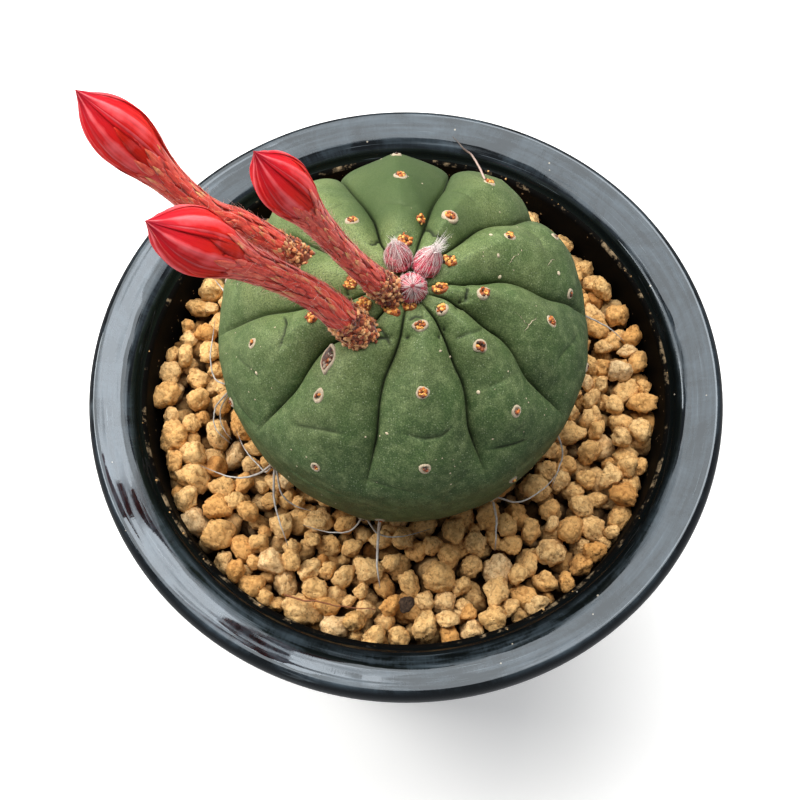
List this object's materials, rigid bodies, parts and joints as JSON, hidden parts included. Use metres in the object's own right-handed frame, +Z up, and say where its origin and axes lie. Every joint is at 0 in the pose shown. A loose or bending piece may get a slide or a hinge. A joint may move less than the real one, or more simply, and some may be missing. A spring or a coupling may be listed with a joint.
{
  "type": "potted matucana cactus",
  "caption": "Flattened ribbed globe cactus with long red flower buds and woolly young buds in its crown, standing in baked-clay grit in a wide-rimmed round plastic pot.",
  "frame": {"origin": "centre of the pot's underside, on the surface that the pot stands on", "axes": "+Z up along the pot's axis; -Y towards the side that the picture shows; +X to the right of that view, so the long buds lean to -X"},
  "size_m": [0.135, 0.135, 0.1858],
  "materials": {
    "black_plastic": "semi-gloss, with fine scratches and dust",
    "baked_clay": "matt, pitted baked clay",
    "green_skin": "matt living skin with a fine pale speckle",
    "scaly_tube": "matt scales with dry tan tips and fine hairs",
    "red_tepal": "satin petals",
    "pink_wool": "scales under pale wool"
  },
  "bodies": {
    "root": {"pot": "black_plastic", "grit": "baked_clay", "stem": "green_skin", "flower_bud_1_tube": "scaly_tube", "flower_bud_1_tepals": "red_tepal", "flower_bud_2_tube": "scaly_tube", "flower_bud_2_tepals": "red_tepal", "flower_bud_3_tube": "scaly_tube", "flower_bud_3_tepals": "red_tepal", "young_bud_1": "pink_wool", "young_bud_2": "pink_wool", "young_bud_3": "pink_wool"}
  },
  "joints": []
}
